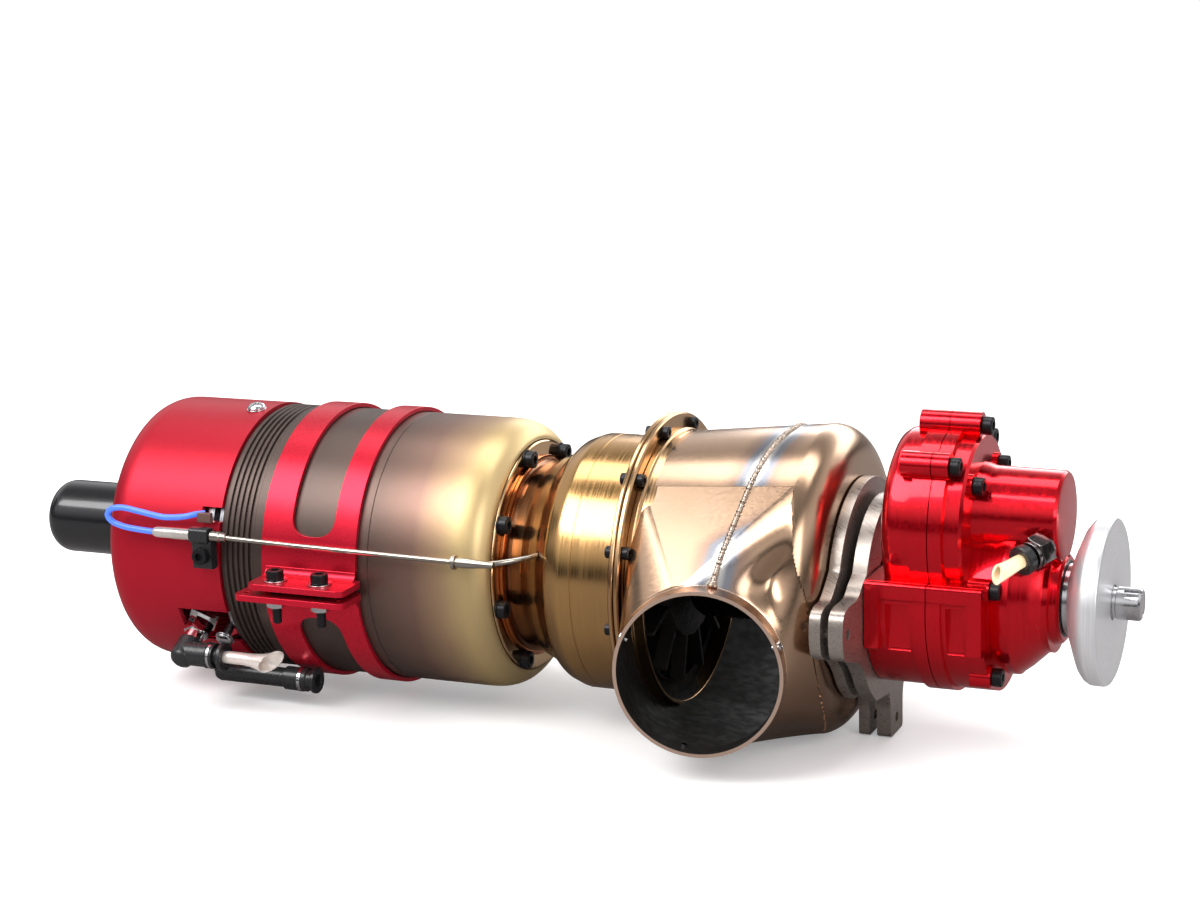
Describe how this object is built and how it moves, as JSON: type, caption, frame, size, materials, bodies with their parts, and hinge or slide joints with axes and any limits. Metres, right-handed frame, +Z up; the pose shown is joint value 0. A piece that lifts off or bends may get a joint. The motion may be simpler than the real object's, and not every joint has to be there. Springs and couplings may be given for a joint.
{
  "type": "model turboprop turbine engine",
  "caption": "Small turboprop turbine: red intake cover, heat-tinted casing with clamp lugs, twin side exhausts, mount plates and a red reduction gearbox with a propeller flange.",
  "frame": {"origin": "centre of the bounding box at its base, on the bench that the mount foot stands on", "axes": "+X along the shafts towards the propeller flange, +Z up, +Y to the side away from the fuel fitting"},
  "size_m": [0.3806, 0.1296, 0.1045],
  "materials": {
    "starter_black": "satin black anodised can",
    "red_anodised": "satin red anodised",
    "red_gearbox": "bright red anodised, machined",
    "bare_aluminium": "machined",
    "driver_silver": "satin silver anodised",
    "plate_grey": "hard anodised grey",
    "polished_steel": "ground and polished",
    "bearing_steel": "polished",
    "hot_steel": "oxidised",
    "casing_steel": "bead blasted, heat tinted from grey brown to straw",
    "bronze_steel": "polished, straw heat tint",
    "duct_steel": "brushed stainless, brown and blue heat tint",
    "black_screw": "black oxide",
    "plated_nut": "zinc plated",
    "black_plastic": "moulded",
    "clear_tube": "translucent",
    "clear_sleeve": "clear heat shrink over steel",
    "blue_lead": "insulated wire"
  },
  "bodies": {
    "engine": {"starter_motor": "starter_black", "starter_bracket": "red_anodised", "intake_cover": "red_anodised", "compressor_shroud": "bare_aluminium", "diffuser": "bare_aluminium", "shaft_tunnel": "bare_aluminium", "gas_bearing_front": "bearing_steel", "gas_bearing_rear": "bearing_steel", "combustion_liner": "hot_steel", "fuel_manifold": "hot_steel", "nozzle_ring": "hot_steel", "outer_casing": "casing_steel", "tail_flange": "bronze_steel", "clamp_upper": "red_anodised", "clamp_lower": "red_anodised", "lug_screw_near_1": "black_screw", "lug_screw_near_2": "black_screw", "lug_screw_far_1": "black_screw", "lug_screw_far_2": "black_screw", "lug_nut_near_1": "plated_nut", "lug_nut_near_2": "plated_nut", "lug_nut_far_1": "plated_nut", "lug_nut_far_2": "plated_nut", "probe_tube": "polished_steel", "probe_clip": "black_plastic", "probe_clip_screw": "black_screw", "probe_sleeve": "clear_sleeve", "probe_lead": "blue_lead", "fuel_nipple": "polished_steel", "gas_fitting": "black_plastic", "interstage_duct": "bronze_steel", "ring_flange_rear": "bronze_steel", "ring_flange_front": "bronze_steel", "power_stator": "hot_steel", "bearing_tube": "hot_steel", "power_bearing_rear": "bearing_steel", "power_bearing_front": "bearing_steel", "exhaust_duct": "duct_steel", "mount_plate_front": "plate_grey", "mount_plate_rear": "plate_grey", "gearbox_rear": "red_gearbox", "gearbox_front": "red_gearbox", "prop_bearing": "bearing_steel", "vent_body": "polished_steel", "vent_tube": "clear_tube"},
    "gas_rotor": {"gas_shaft": "polished_steel", "compressor_wheel": "bare_aluminium", "gas_turbine_wheel": "hot_steel"},
    "starter_drive": {"starter_spindle": "polished_steel"},
    "power_rotor": {"power_shaft": "polished_steel", "power_turbine_wheel": "hot_steel"},
    "lay_gear": {"layshaft": "polished_steel"},
    "propeller_flange": {"prop_shaft": "polished_steel", "output_gear": "polished_steel", "spacer_ring": "polished_steel", "prop_driver": "driver_silver"},
    "elbow": {"fuel_elbow": "black_plastic", "fuel_tube": "clear_tube"},
    "elbow_collet": {"fuel_collet": "black_plastic"},
    "vent_ring": {"vent_collet": "black_plastic"}
  },
  "joints": [
    {"name": "prop_spin", "type": "hinge", "parent": "engine", "child": "propeller_flange", "pos_m": [0.15165, 0, 0.0494], "axis": [1, 0, 0], "continuous": true},
    {"name": "layshaft_spin", "type": "hinge", "parent": "engine", "child": "lay_gear", "pos_m": [0.12965, 0, 0.0701], "axis": [1, 0, 0], "continuous": true},
    {"name": "power_turbine_spin", "type": "hinge", "parent": "engine", "child": "power_rotor", "pos_m": [0.08165, 0, 0.0494], "axis": [1, 0, 0], "continuous": true},
    {"name": "gas_rotor_spin", "type": "hinge", "parent": "engine", "child": "gas_rotor", "pos_m": [-0.06835, 0, 0.0494], "axis": [1, 0, 0], "continuous": true},
    {"name": "starter_spin", "type": "hinge", "parent": "engine", "child": "starter_drive", "pos_m": [-0.13335, 0, 0.0494], "axis": [1, 0, 0], "continuous": true},
    {"name": "fuel_elbow_swivel", "type": "hinge", "parent": "engine", "child": "elbow", "pos_m": [-0.11295, -0.04728, 0.01976], "axis": [0, -0.8473, -0.5312], "continuous": true},
    {"name": "fuel_collet_press", "type": "slide", "parent": "elbow", "child": "elbow_collet", "axis": [-1, 0, 0], "range_m": [0, 0.001], "stiffness_N_per_m": 300},
    {"name": "vent_collet_press", "type": "slide", "parent": "engine", "child": "vent_ring", "axis": [0.4589, 0.868, 0.1896], "range_m": [0, 0.0009], "stiffness_N_per_m": 300}
  ],
  "couplings": [
    {"joint": "layshaft_spin", "follows": "prop_spin", "ratio": -3.6},
    {"joint": "power_turbine_spin", "follows": "prop_spin", "ratio": 12.96}
  ]
}
